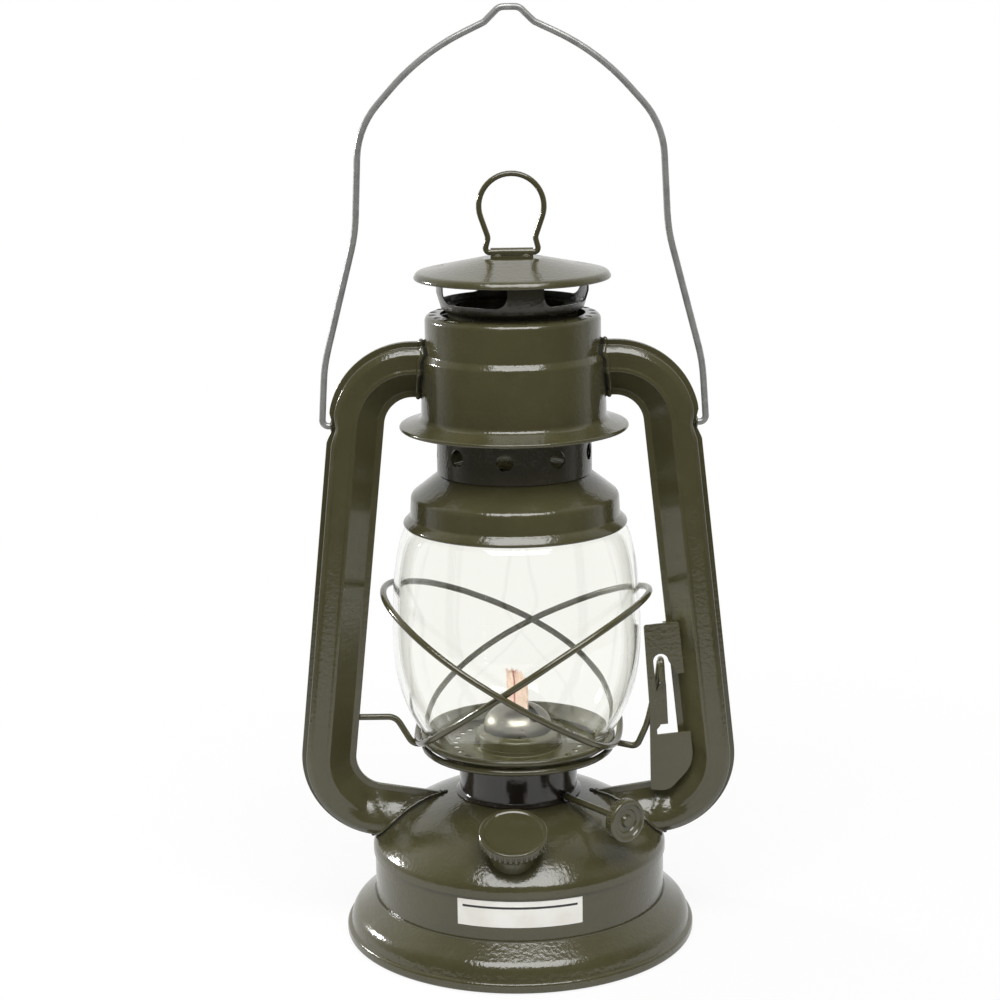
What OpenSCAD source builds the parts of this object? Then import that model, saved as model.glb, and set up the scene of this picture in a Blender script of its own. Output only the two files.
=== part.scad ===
// Kerosene lamp with a wire-guarded globe, two air tubes and a swinging bail.
// Millimetres, +Z up, X through the side tubes, the filler cap faces -Y.

/* [Foot and tank] */
// Outer radius of the foot rim
foot_r = 64.5; // [62:0.5:67]
// Height of the rolled foot rim
foot_rim_h = 3.4; // [2.8:0.1:4.2]
// Width of the rolled foot rim
foot_rim_w = 3.2; // [2.6:0.1:3.8]
// Height at which the foot skirt meets the tank wall
skirt_h = 14.6; // [13.5:0.1:17]
// Fall of the foot skirt before it turns down
skirt_fall = 5.6; // [4.5:0.1:6.5]
// Radius at which the foot skirt turns down
skirt_bend = 12; // [8:0.5:13]
// Outer radius of the tank wall
tank_r = 53.5; // [52:0.5:55]
// Height of the tank floor
tank_floor_z = 4.0; // [3:0.1:6]
// Height of the top of the tank wall
shoulder_z = 33.6; // [31:0.2:38]
// Rise of the dome from the wall to the gallery
dome_h = 19.6; // [18:0.2:22]
// Rise of the dome above its straight slope
dome_bulge = 3.4; // [2.6:0.1:4.2]
// Thickness of the sheet metal
sheet = 0.6; // [0.5:0.05:0.75]

/* [Filler] */
// Distance of the filler from the lamp axis
filler_y = 43; // [41:0.5:44]
// Distance of the filler to the left of the lamp's middle
filler_side = 2.1; // [0:0.1:4]
// Lean of the filler towards the front
filler_tilt = 23; // [20:1:26]
// Outer radius of the filler neck
filler_neck_r = 8.6; // [8:0.1:9]
// Height of the filler neck above the dome
filler_neck_h = 7.2; // [6.4:0.1:8]
// Ribs of the thread round the filler neck
filler_ribs = 3; // [2:1:3]
// Outer radius of the filler cap
filler_cap_r = 12.3; // [11.2:0.1:12.8]
// Height of the filler cap skirt
filler_cap_h = 4.8; // [4.4:0.1:6.4]
// Notches round the filler cap
filler_notches = 40; // [30:1:48]
// Thickness of the gasket
gasket_t = 1.2; // [0.8:0.1:1.6]

/* [Burner] */
// Outer radius of the gallery
gallery_r = 21.7; // [21:0.1:23]
// Height of the gallery
gallery_h = 17.0; // [16:0.2:19]
// Outer radius of the burner cone
cone_r = 15.5; // [15:0.1:16]
// Height of the cone top above the gallery
cone_rise = 16.2; // [15:0.2:18]
// Width of the wick
wick_w = 12.0; // [11:0.2:12.6]
// Thickness of the wick
wick_t = 2.2; // [1.8:0.1:2.4]
// Height of the wick above the cone
wick_show = 13.0; // [10:0.5:15]
// Direction of the wick winder, seen from above
winder_turn = -51.5; // [-60:0.5:-44]
// Radius of the winder shaft
shaft_r = 1.2; // [1:0.05:1.4]
// Radius of the spur wheels
spur_r = 2.4; // [2.2:0.05:2.6]
// Distance of the knob from the lamp axis
knob_reach = 53.8; // [52:0.2:58]
// Radius of the knob
knob_r = 7.8; // [7:0.1:8.4]
// Thickness of the knob
knob_t = 3.8; // [3.2:0.1:4.4]
// Notches round the knob
knob_notches = 44; // [30:1:48]

/* [Globe and guard] */
// Outer radius of the plate that carries the globe
plate_r = 35.8; // [35:0.1:37]
// Height of the globe
globe_h = 92.3; // [88:0.5:97]
// Largest radius of the globe
globe_r = 45.2; // [44:0.2:46]
// Radius of the foot of the globe
globe_foot_r = 30.2; // [29:0.2:31]
// Radius of the neck of the globe
globe_neck_r = 35.2; // [34.4:0.2:35.8]
// Thickness of the glass
glass = 2.0; // [1.6:0.1:2.4]
// Diameter of the guard and lift wires
guard_d = 2.4; // [2:0.1:2.6]
// Turn of the guard wires about the lamp axis
guard_turn = -8; // [-12:1:-4]
// Height of the guard wires' high points above the globe foot
guard_high = 58.3; // [54:0.5:62]

/* [Chimney] */
// Overlap of the bell over the globe
bell_lap = 8.8; // [8:0.1:9.6]
// Radius of the bell brim
bell_brim_r = 40.4; // [40:0.1:41.5]
// Outer radius of the bell skirt
bell_r = 37.9; // [37.6:0.1:38.6]
// Height of the bell cone
bell_cone_h = 8.6; // [8:0.1:9.4]
// Outer radius of the perforated neck
neck_r = 27.8; // [27:0.1:28.4]
// Radius of the neck holes
neck_hole_r = 3.1; // [2.6:0.1:3.5]
// Number of neck holes
neck_holes = 9; // [7:1:10]
// Outer radius of the flue pipe
flue_r = 22.4; // [21.6:0.1:22.8]
// Radius of the crown under the cap
crown_r = 27.0; // [26.4:0.1:28]
// Width of each leg of the crown
crown_leg_w = 13; // [6:0.5:15]
// Turn of the crown's front leg to the right
crown_turn = 10; // [0:1:20]
// Radius of the cap
cap_r = 35.2; // [34:0.2:37]
// Height of the cap top above the hood
cap_rise = 19.4; // [18:0.2:22]

/* [Hood] */
// Height of the gap between the bell cone and the hood brim
hood_gap = 15.8; // [15:0.2:18]
// Height of the hood
hood_h = 41.0; // [40:0.5:44]
// Radius of the hood brim
hood_brim_r = 41.1; // [40:0.1:42]
// Radius of the hood drum at its foot
hood_r = 32.9; // [32.6:0.1:33.8]
// Radius of the hood drum above its step
hood_top_r = 31.3; // [31:0.1:32]
// Radius of the hood's upper opening
hood_mouth_r = 25.8; // [25.4:0.1:26.4]
// Number of vent holes in the hood top
vent_holes = 24; // [18:1:28]
// Radius of a vent hole
vent_r = 1.3; // [1:0.1:1.5]

/* [Tubes] */
// Width of the side tubes in their own plane
tube_w = 20.0; // [19:0.2:20.6]
// Depth of the side tubes
tube_t = 14.4; // [13:0.2:16]
// Wall of the side tubes
tube_wall = 0.8; // [0.7:0.05:0.9]
// Bend radius of the side tubes at their middle
bend_r = 20.5; // [20:0.1:21]
// Distance of the lower bend centre from the lamp axis
tube_reach = 49.3; // [48.6:0.1:51]
// Downward lean of the tube foot
tube_foot_lean = 9; // [8:0.5:11]

/* [Lift] */
// Travel of the lifter along the tube
lift_travel = 9.0; // [7:0.5:10]
// Thickness of the lifter plate
lifter_t = 0.8; // [0.6:0.1:1]
// Length of the lifter above its slot
lifter_top = 11.5; // [10:0.5:13]

/* [Bail and ring] */
// Diameter of the bail wire
bail_d = 2.4; // [2.2:0.1:2.6]
// Height of the bail above its pivots
bail_h = 147.4; // [140:0.2:152]
// Half width of the bail at its upper shoulder
bail_half = 53.2; // [51:0.5:56]
// Diameter of the ring wire
ring_d = 2.0; // [1.8:0.1:2.2]
// Half width of the ring
ring_half = 12.4; // [11:0.2:13]
// Height of the ring above its pivot
ring_h = 27.6; // [26:0.5:30]
// Length of the ring strap
strap_w = 15; // [14:0.5:16]

/* [Fits] */
// Gap at soldered seams
solder = 0.05; // [0.03:0.01:0.08]
// Gap under a piece that rests on another
rest_gap = 0.2; // [0.15:0.05:0.3]
// Radial gap of a turning shaft
turn_gap = 0.05; // [0.03:0.01:0.08]
// Gap beside a sliding piece
slide_gap = 0.4; // [0.3:0.05:0.5]

/* [Hidden] */
$fn = 64;
dome_top = shoulder_z + dome_h;
gallery_top = dome_top + gallery_h;
plate_z = gallery_top + rest_gap + sheet / 2;
globe_z = plate_z + sheet / 2;
globe_top = globe_z + globe_h;
bell_z = globe_top - bell_lap;
cone_z = globe_top + rest_gap + 1.6;
cone_top = cone_z + bell_cone_h;
hood_z = cone_top + hood_gap;
hood_top = hood_z + hood_h;
neck_top = hood_z + 8.4;
cap_z = hood_top + cap_rise;
tube_z = hood_z + 21.2;
tube_top_c = [hood_r + 3.1, tube_z - bend_r];
tube_low_c = [tube_reach, shoulder_z + 32.4];
tube_lean = atan((tube_low_c[0] - tube_top_c[0]) / (tube_top_c[1] - tube_low_c[1]));
tube_in_r = bend_r - tube_w / 2;
seam_w = 2.4;
seam_t = 1.8;
hair = 0.06;
tuck = 0.4;
pivot_rise = 0.2;
pivot_z = tube_top_c[1] + pivot_rise;
pivot_x = tube_top_c[0] + (bend_r + tube_w / 2 - pivot_rise * sin(tube_lean)) / cos(tube_lean);
shaft_z = dome_top + 2.1;
shaft_off = wick_t / 2 + spur_r + 0.1;
strap_z = cap_z + sheet / 2 + solder + ring_d / 2 + turn_gap + 0.6;
wick_gap = 0.3;

olive = [0.33, 0.34, 0.24];
dark = [0.2, 0.2, 0.15];
steel = [0.66, 0.68, 0.7];

// Flat geometry: unit vectors, rounded corners and paths of even thickness
function unit(v) = v / norm(v);
function left(v) = [-v[1], v[0]];
function flip(p) = [for (i = [len(p) - 1 : -1 : 0]) p[i]];
function arc(c, r, a0, a1, n) = [for (i = [0 : n]) let (a = a0 + (a1 - a0) * i / n) c + r * [cos(a), sin(a)]];
function turn_at(a, b, c) = acos(max(-1, min(1, unit(b - a) * unit(c - b))));
function cross2(a, b) = a[0] * b[1] - a[1] * b[0];
function corner(a, b, c, r) =
    let (t = turn_at(a, b, c), side = cross2(b - a, c - b) > 0 ? 1 : -1,
        n = max(1, ceil(t / 11), ceil(t * r / 260)))
    t < 0.5 || r <= 0 ? [b] :
    let (start = b - unit(b - a) * r * tan(t / 2), m = start + left(unit(b - a)) * r * side)
    [for (i = [0 : n]) let (w = side * t * i / n, v = start - m)
        m + [v[0] * cos(w) - v[1] * sin(w), v[0] * sin(w) + v[1] * cos(w)]];
function xy(p) = [p[0], p[1]];
function rounded(p) = [for (i = [0 : len(p) - 1])
    each (i == 0 || i == len(p) - 1) ? [xy(p[i])]
        : corner(xy(p[i - 1]), xy(p[i]), xy(p[i + 1]), len(p[i]) > 2 ? p[i][2] : 0)];
function rounded_loop(p) = let (n = len(p)) [for (i = [0 : n - 1])
    each corner(xy(p[(i + n - 1) % n]), xy(p[i]), xy(p[(i + 1) % n]), len(p[i]) > 2 ? p[i][2] : 0)];
function normal_at(p, i) = let (n = len(p) - 1,
    a = left(unit(p[min(i + 1, n)] - p[min(i, n - 1)])), b = left(unit(p[max(i, 1)] - p[max(i - 1, 0)])))
    (a + b) / (1 + a * b);
function beside(p, d) = [for (i = [0 : len(p) - 1]) p[i] + d * normal_at(p, i)];
function band(p, t) = concat(beside(p, t / 2), flip(beside(p, -t / 2)));
function bezier(a, b, c, d, n) = [for (i = [0 : n]) let (t = i / n, s = 1 - t)
    s * s * s * a + 3 * s * s * t * b + 3 * s * t * t * c + t * t * t * d];
function at_x(p, v, k = 0) = abs(p[k + 1][1] - p[k][1]) > 1e-9 && (v - p[k][1]) * (v - p[k + 1][1]) <= 0
    || k == len(p) - 2 ? p[k][0] + (p[k + 1][0] - p[k][0]) * (v - p[k][1]) / (p[k + 1][1] - p[k][1])
    : at_x(p, v, k + 1);

// Sheet drawn round the lamp axis, its middle line given by corners with their radii
module drawn(p, t = sheet) {
    rotate_extrude() polygon(band(rounded(p), t));
}

module bead(r, z, d) {
    rotate_extrude() translate([r, z]) circle(d = d);
}

module stadium(w, t) {
    square([w - t, t], center = true);
    translate([(w - t) / 2, 0]) circle(d = t);
    translate([-(w - t) / 2, 0]) circle(d = t);
}

// Wire along any path, as rings of points carried from one to the next
function tangent(p, i, closed) = let (n = len(p))
    closed ? unit(p[(i + 1) % n] - p[(i + n - 1) % n]) : unit(p[min(i + 1, n - 1)] - p[max(i - 1, 0)]);
function carry(p, closed, v, i) = i == len(p) ? []
    : let (t = tangent(p, i, closed), w = unit(v - (v * t) * t)) concat([w], carry(p, closed, w, i + 1));
module swept_wire(p, d, start, closed = false, sides = 10) {
    n = len(p);
    side = carry(p, closed, start, 0);
    pts = [for (i = [0 : n - 1]) let (t = tangent(p, i, closed), u = side[i], w = cross(t, u))
        for (k = [0 : sides - 1]) p[i] + d / 2 * (u * cos(360 * k / sides) + w * sin(360 * k / sides))];
    walls = [for (i = [0 : closed ? n - 1 : n - 2], k = [0 : sides - 1])
        let (a = i * sides, b = ((i + 1) % n) * sides, j = (k + 1) % sides)
        each [[a + k, b + k, b + j], [a + k, b + j, a + j]]];
    lids = closed ? [] : [[for (k = [0 : sides - 1]) k],
        [for (k = [sides - 1 : -1 : 0]) (n - 1) * sides + k]];
    polyhedron(points = pts, faces = concat(walls, lids));
}
function soft_corner(a, b, c, r) = let (u = b - unit(b - a) * r, w = b + unit(c - b) * r)
    [for (i = [0 : 5]) let (t = i / 5) (1 - t) * (1 - t) * u + 2 * t * (1 - t) * b + t * t * w];
function soft_path(p) = [for (i = [0 : len(p) - 1])
    each (i == 0 || i == len(p) - 1 || p[i][3] == 0) ? [[p[i][0], p[i][1], p[i][2]]]
        : soft_corner([for (k = [0 : 2]) p[i - 1][k]], [for (k = [0 : 2]) p[i][k]],
            [for (k = [0 : 2]) p[i + 1][k]], p[i][3])];

// Outline of the dome: an arc from the shoulder to the gallery
dome_a = [tank_r + solder + sheet / 2, shoulder_z + 1.0];
dome_b = [gallery_r - 0.8, dome_top - sheet / 2];
dome_c = norm(dome_a - dome_b);
dome_R = (dome_c * dome_c / 4 + dome_bulge * dome_bulge) / (2 * dome_bulge);
dome_m = (dome_a + dome_b) / 2 + left(unit(dome_b - dome_a)) * (dome_R - dome_bulge);
dome_a0 = atan2(dome_a[1] - dome_m[1], dome_a[0] - dome_m[0]);
dome_a1 = atan2(dome_b[1] - dome_m[1], dome_b[0] - dome_m[0]);
function dome_z(r) = dome_m[1] + sqrt(dome_R * dome_R - pow(r - dome_m[0], 2));
dome_line = concat([[dome_a[0], shoulder_z - 2.4]], arc(dome_m, dome_R, dome_a0, dome_a1, 14),
    [[13.4, dome_top - sheet / 2]]);

// Foot with its rolled rim, and the tank
module foot_skirt() color(olive) {
    x = tank_r + solder + sheet / 2;
    o = foot_r - 1.4;
    drawn([[x, skirt_h + 2.0], [x, skirt_h, 0.7], [o - 1.5, skirt_h - skirt_fall, skirt_bend],
        [o, foot_rim_h * 0.6]]);
    rotate_extrude() polygon(rounded_loop([[foot_r - foot_rim_w, 0, 0.4], [foot_r, 0, 0.5],
        [foot_r, foot_rim_h, 1.1], [foot_r - foot_rim_w, foot_rim_h, 0.6]]));
}

module tank_wall() color(olive)
    rotate_extrude() translate([tank_r - sheet, tank_floor_z]) square([sheet, shoulder_z - tank_floor_z]);

module tank_bottom() color(olive) {
    x = tank_r - sheet - solder - sheet / 2;
    drawn([[0, tank_floor_z + 2], [x - 9, tank_floor_z + 2, 2], [x - 6, tank_floor_z + 0.5, 2],
        [x, tank_floor_z + 0.5, 1], [x, tank_floor_z + 5]]);
}

module filler_place() {
    translate([-filler_side, -filler_y, dome_z(norm([filler_side, filler_y]))]) rotate([filler_tilt, 0, 0])
        children();
}

module tank_dome() color(olive) difference() {
    rotate_extrude() polygon(band(dome_line, sheet));
    filler_place() cylinder(r = filler_neck_r + solder, h = 30, center = true);
}

module filler_neck() color(olive) filler_place() {
    difference() {
        union() {
            translate([0, 0, -5]) cylinder(r = filler_neck_r, h = filler_neck_h + 5);
            for (i = [0 : filler_ribs - 1]) translate([0, 0, filler_neck_h - 1.1 - 1.7 * i])
                rotate_extrude() translate([filler_neck_r, 0]) circle(r = 0.45);
        }
        translate([0, 0, -6]) cylinder(r = filler_neck_r - 1, h = filler_neck_h + 7);
    }
}

module filler_gasket() color([0.15, 0.15, 0.14]) filler_place()
    translate([0, 0, filler_neck_h + rest_gap]) cylinder(r = filler_neck_r + 0.3, h = gasket_t);

module filler_cap() color(olive) filler_place() {
    under = filler_neck_h + rest_gap + gasket_t + solder;
    bore = filler_neck_r + 0.45 + 0.2;
    top = under + 1.4;
    difference() {
        rotate_extrude() polygon(rounded_loop([[0, top - 0.3], [filler_cap_r - 2.2, top - 0.3],
            [filler_cap_r - 1.6, top, 0.3], [filler_cap_r, top, 0.9],
            [filler_cap_r, top - filler_cap_h + 1.2, 0.4], [filler_cap_r - 0.9, top - filler_cap_h, 0.4],
            [bore, top - filler_cap_h], [bore, under], [0, under]]));
        for (i = [0 : filler_notches - 1]) rotate([0, 0, 360 / filler_notches * i])
            translate([filler_cap_r + 0.15, 0, top - filler_cap_h + 1.4])
                cylinder(r = 0.5, h = filler_cap_h - 2.6);
    }
}

// Burner: collar, gallery, body, wick tube and cone
module winder_place() {
    rotate([0, 0, winder_turn]) children();
}

module burner_collar() color(steel) rotate_extrude() polygon([[11.7, dome_top - 5], [13.3, dome_top - 5],
    [13.3, dome_top + solder], [16, dome_top + solder], [16, dome_top + solder + 0.6],
    [11.7, dome_top + solder + 0.6]]);

module burner_gallery() color(dark) difference() {
    r = gallery_r - sheet / 2;
    drawn([[r + 1.6, dome_z(r + 1.6) + sheet + solder], [r, dome_top + sheet + solder + 0.4, 0.8],
        [r, gallery_top - sheet / 2, 0.8], [r - 3, gallery_top - sheet / 2]]);
    for (i = [0 : 23]) rotate([0, 0, 15 * i]) translate([r, 0, gallery_top - 3])
        cube([4, 2.6, 1.3], center = true);
    winder_place() translate([14, shaft_off, shaft_z]) rotate([0, 90, 0])
        cylinder(r = shaft_r + 0.55 + solder, h = 12);
}

module burner_body() color(steel) difference() {
    r = cone_r - sheet - solder - sheet / 2;
    z = dome_top + solder + 0.6 + solder + sheet / 2;
    drawn([[0, dome_top - 4.6], [11.3, dome_top - 4.6, 1], [11.3, z, 0.5], [r, z, 0.8],
        [r, gallery_top + 3]]);
    winder_place() {
        translate([0, 0, dome_top - 4.6]) linear_extrude(4, center = true)
            stadium(wick_w + 2 * wick_gap + 1.5, wick_t + 2 * wick_gap + 1.5);
        translate([-24, shaft_off, shaft_z]) rotate([0, 90, 0]) cylinder(r = shaft_r + turn_gap, h = 48);
    }
}

module wick_tube() color(steel) winder_place() difference() {
    z0 = dome_top - 12;
    z1 = gallery_top + cone_rise - 3;
    translate([0, 0, z0]) linear_extrude(z1 - z0) difference() {
        stadium(wick_w + 2 * wick_gap + 1.4, wick_t + 2 * wick_gap + 1.4);
        stadium(wick_w + 2 * wick_gap, wick_t + 2 * wick_gap);
    }
    for (s = [-1, 1]) translate([s * wick_w / 4, shaft_off, shaft_z])
        cube([2.6, 2 * spur_r + 1, 2 * spur_r + 1], center = true);
    translate([-wick_w, shaft_off, shaft_z]) rotate([0, 90, 0]) cylinder(r = shaft_r + 0.2, h = 2 * wick_w);
}

module burner_cone() color(dark) difference() {
    r = cone_r - sheet / 2;
    rise = cone_rise - 5.4 - sheet / 2;
    line = concat([[r, gallery_top - 4]],
        [for (i = [0 : 12]) [r * cos(7.5 * i), gallery_top + 5.4 + rise * sin(7.5 * i)]]);
    rotate_extrude() polygon([for (p = band(line, sheet)) [max(0, p[0]), p[1]]]);
    winder_place() translate([0, 0, gallery_top + 10]) linear_extrude(20) stadium(wick_w + 4, wick_t + 2.6);
}

module shaft_bush() color(steel) winder_place() translate([gallery_r - 2.3, shaft_off, shaft_z])
    rotate([0, 90, 0]) difference() {
        union() {
            cylinder(r = shaft_r + 0.55, h = 4.4);
            cylinder(r = shaft_r + 0.75, h = 0.6);
        }
        translate([0, 0, -1]) cylinder(r = shaft_r + turn_gap, h = 8);
    }

// Wick and its winder
module wick() color([0.9, 0.86, 0.76]) winder_place() translate([0, 0, 22])
    linear_extrude(gallery_top + cone_rise + wick_show - 22) stadium(wick_w, wick_t);

module wick_shaft() color(steel) winder_place() translate([-cone_r - 1, shaft_off, shaft_z])
    rotate([0, 90, 0]) cylinder(r = shaft_r, h = knob_reach + cone_r + 1 + knob_t - 1);

module spur_wheels() color(steel) winder_place() for (s = [-1, 1])
    translate([s * wick_w / 4 - 0.7, shaft_off, shaft_z]) rotate([0, 90, 0])
        linear_extrude(1.4) difference() {
        polygon([for (i = [0 : 19]) (i % 2 ? spur_r : spur_r - 0.6) * [cos(18 * i), sin(18 * i)]]);
        circle(r = shaft_r + solder);
    }

module wick_knob() color(olive) winder_place() translate([knob_reach, shaft_off, shaft_z]) rotate([0, 90, 0])
    difference() {
        rotate_extrude() polygon(rounded_loop([[shaft_r + solder, -2.4], [3, -2.4, 0.4], [3, 0, 0.4],
            [knob_r, 0, 0.5], [knob_r, knob_t, 0.8], [knob_r - 1.4, knob_t, 0.4],
            [knob_r - 1.9, knob_t - 0.7, 0.3], [4.5, knob_t - 0.7, 0.3], [4, knob_t - 1.3, 0.3],
            [2.4, knob_t - 1.3, 0.3], [1.8, knob_t - 0.2, 0.4], [0, knob_t - 0.2], [0, knob_t - 0.9],
            [shaft_r + solder, knob_t - 0.9]]));
        for (i = [0 : knob_notches - 1]) rotate([0, 0, 360 / knob_notches * i])
            translate([knob_r + 0.15, 0, 0.9]) cylinder(r = 0.35, h = knob_t - 1.9);
    }

// Globe plate, globe, guard wires and lift wire
module globe_plate() color(olive) {
    difference() {
        drawn([[cone_r + 0.7, plate_z + 1.6], [cone_r + 0.7, plate_z, 0.6], [plate_r - 4.3, plate_z, 0.8],
            [plate_r - 1.2, plate_z + 3.3]]);
        for (i = [0 : 27]) rotate([0, 0, 360 / 28 * i]) translate([globe_foot_r - 7, 0, plate_z])
            cylinder(r = 1.3, h = 4, center = true);
    }
    bead(plate_r - 1.2, plate_z + 3.6, 2.4);
}

// Outline of the glass, from the foot over the belly to the neck
belly_z = globe_z + globe_h * 0.45;
brim_z = globe_top - 10.6;
globe_line = concat(
    bezier([globe_foot_r, globe_z], [globe_foot_r + 6.6, globe_z + 7.2], [globe_r, belly_z - 22],
        [globe_r, belly_z], 12),
    bezier([globe_r, belly_z], [globe_r, belly_z + 17], [globe_r - 1.2, brim_z - 6.6],
        [globe_r - 5, brim_z], 10),
    bezier([globe_r - 5, brim_z], [globe_r - 6.8, brim_z + 2.9], [globe_neck_r, brim_z + 2.4],
        [globe_neck_r, brim_z + 5.6], 7),
    [[globe_neck_r, globe_top]]);
globe_skin = [for (i = [0 : len(globe_line) - 1])
    if (i == 0 || norm(globe_line[i] - globe_line[i - 1]) > 0.01) globe_line[i]];

module globe() color([0.8, 0.9, 0.85, 0.35])
    rotate_extrude() polygon(concat(globe_skin, flip([for (p = beside(globe_skin, glass))
        [p[0], max(globe_z, min(globe_top, p[1]))]])));

guard_low = plate_z + 3.4;
guard_mid = globe_z + 33.2;
guard_top = globe_z + guard_high;
function guard_z(f) = let (b = ((guard_top + guard_low) / 2 - guard_mid) / 2)
    guard_mid + b + (guard_top - guard_low) / 2 * cos(f) + b * cos(2 * f);
function guard_x(f, z, out) = at_x(globe_skin, z) + guard_d / 2 + 1.2 + 1.2 * max(0, cos(f))
    + (guard_d + 0.2) * out * pow(sin(f), 4)
    + (plate_r - 1.1 - at_x(globe_skin, guard_low)) * pow(max(0, -cos(f)), 4);
// The wires stand higher in front than behind, and their feet are turned to the front
guard_rise = 2.4;
function guard_path(a, out, front, turn) = [for (i = [0 : 71])
    let (f = 5 * i, z = guard_z(f) + front * guard_rise * sin(f), r = guard_x(f, z, out),
        b = a + f + turn * (1 - cos(f)) / 2)
    [r * cos(b), r * sin(b), z]];

module guard_wire_a() color(olive)
    swept_wire(guard_path(180 + guard_turn, 1, 1, -10), guard_d, [-cos(guard_turn), -sin(guard_turn), 0], true);

module guard_wire_b() color(olive)
    swept_wire(guard_path(guard_turn, 0, -1, 16), guard_d, [cos(guard_turn), sin(guard_turn), 0], true);

// Straight run of a side tube: its inner edge at a height, and a frame on it at the lifter
function tube_edge(z) = tube_top_c[0] + tube_in_r * cos(tube_lean)
    + (tube_top_c[1] + tube_in_r * sin(tube_lean) - z) * tan(tube_lean);
lifter_z = plate_z + 14.4;
hook_z = lifter_z + 18.4;
hook_in = 3.6;
hook_x = tube_edge(hook_z) - hook_in;
wire_y = -seam_t / 2 - 2.3;
plate_back = wire_y - guard_d / 2 - slide_gap;
arm_z = plate_z + 9.8;
arm_y = seam_t / 2 + slide_gap + guard_d / 2;
arm_end = 6;
hug_r = plate_r - 1.4;
hug_z = plate_z + 0.1;

module lift_wire() color(olive) swept_wire(soft_path(concat(
    [[-tube_edge(arm_z) - arm_end, arm_y, arm_z, 0], [-plate_r - 9.2, arm_y, arm_z, 3],
     [-plate_r - 3, 0, hug_z, 2.4]],
    [for (i = [0 : 24]) [hug_r * cos(180 + 7.5 * i), hug_r * sin(180 + 7.5 * i), hug_z, 0]],
    [[plate_r + 7.9, wire_y * 0.6, hug_z - 1.4, 2.4], [plate_r + 11.8, wire_y, arm_z - 1.6, 3.5],
     [hook_x - 1.2, wire_y, hook_z - 9, 4], [hook_x, wire_y, hook_z, 1.9],
     [hook_x, plate_back - lifter_t - 2.6, hook_z, 1.9],
     [hook_x + 0.4, plate_back - lifter_t - 2.6, hook_z - 7, 0]])),
    guard_d, [0, 0, 1]);

// Lifter: slotted plate that slides on the seam of the right tube
module lifter_place() {
    translate([tube_edge(lifter_z), 0, lifter_z]) rotate([0, -tube_lean, 0]) rotate([90, 0, 0]) children();
}

module lifter() color(olive) lifter_place() {
    slot_l = -hook_in - 2.7;
    slot_t = 18.4;
    top = slot_t + 2.6 + lifter_top;
    translate([0, 0, -plate_back]) linear_extrude(lifter_t) difference() {
        polygon(rounded_loop([[4.4, top, 1], [-8.4, top, 1], [-9.6, 0, 30], [-12.4, -30, 1],
            [-6, -31.4, 6], [4.4, -22, 12]]));
        difference() {
            union() {
                translate([-hook_in, slot_t]) circle(r = 2.7);
                polygon([[slot_l, slot_t], [slot_l, -6], [slot_l - 1.4, -7.4], [slot_l - 1.4, -9.4], [6, -9.4],
                    [6, 13], [1.6, 13], [2.7 - hook_in, slot_t]]);
            }
            // tongue that the wire's hook hangs on
            translate([-hook_in, 0]) polygon([[-0.9, slot_t - guard_d / 2 - 0.3],
                [0.9, slot_t - guard_d / 2 - 0.3], [1, 9], [0.2, -5.6], [-2.8, -5.6], [-2.8, 7], [-1.1, 10]]);
        }
    }
    back = seam_t / 2 + slide_gap;
    lip = slide_gap + 0.4 + seam_w;
    for (t = [top - 8.4, -19]) translate([-slide_gap - 0.8, t, 0]) rotate([-90, 0, 0]) linear_extrude(7)
        polygon([[0, plate_back], [0.8, plate_back], [0.8, back], [lip, back], [lip, back + 0.8],
            [0, back + 0.8]]);
}

// Side tubes: one section carried along a stub, a bend, the straight run, a bend and the foot
// The straight runs are a hair thinner and tuck into the bends
function tube_outline(g) = let (s = seam_t / 2 + g, a = tube_w * 0.45, b = tube_w * 0.85, h = tube_t / 2 + g)
    rounded_loop([[-g, -s, 0.3], [seam_w, -s, 0.8], [a, 0.5 - h, 2], [b, -h, 1.6],
        [tube_w + g, 3 - h, 1], [tube_w + g, h - 3, 1], [b, h, 1.6], [a, h - 0.5, 2],
        [seam_w, s, 0.8], [-g, s, 0.3]]);
function tube_hollow(g) = let (w = tube_wall, a = tube_w * 0.45 + 0.2, b = tube_w * 0.85 - 0.3 * w,
    h = tube_t / 2 - w + g, s = seam_w + 2 * w - g, e = tube_w - w + g)
    rounded_loop([[s, -0.5, 0.2], [a, 0.3 - h, 1.4], [b, -h, 1], [e, 3 - h, 0.6],
        [e, h - 3, 0.6], [b, h, 1], [a, h - 0.3, 1.4], [s, 0.5, 0.2]]);

module tube_section(g = 0) {
    translate([tube_in_r, 0]) difference() {
        polygon(tube_outline(-g));
        polygon(tube_hollow(g));
    }
}

module tube_run(h) {
    translate([0, tuck, 0]) rotate([90, 0, 0]) linear_extrude(h + 2 * tuck) tube_section(hair);
}

module tube_body() {
    run = norm(tube_low_c - tube_top_c);
    rotate([90, 0, 0]) {
        translate(tube_top_c) {
            rotate([0, 0, 90]) translate([0, 8, 0]) tube_run(8);
            rotate([0, 0, tube_lean]) rotate_extrude(angle = 90 - tube_lean) tube_section();
            rotate([0, 0, tube_lean]) tube_run(run);
        }
        translate(tube_low_c) {
            rotate([0, 0, tube_foot_lean - 90]) rotate_extrude(angle = 90 - tube_foot_lean + tube_lean)
                tube_section();
            rotate([0, 0, tube_foot_lean - 90]) tube_run(32);
        }
    }
}

module tube_collar() {
    rotate([90, 0, 0]) translate([hood_r + 2.2, tube_top_c[1]]) rotate([0, 0, 90]) translate([0, 1.2, 0])
        rotate([90, 0, 0]) linear_extrude(1.2) translate([tube_in_r, 0]) difference() {
            polygon(tube_outline(0.8));
            polygon(tube_outline(-tube_wall / 2));
        }
}

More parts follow.
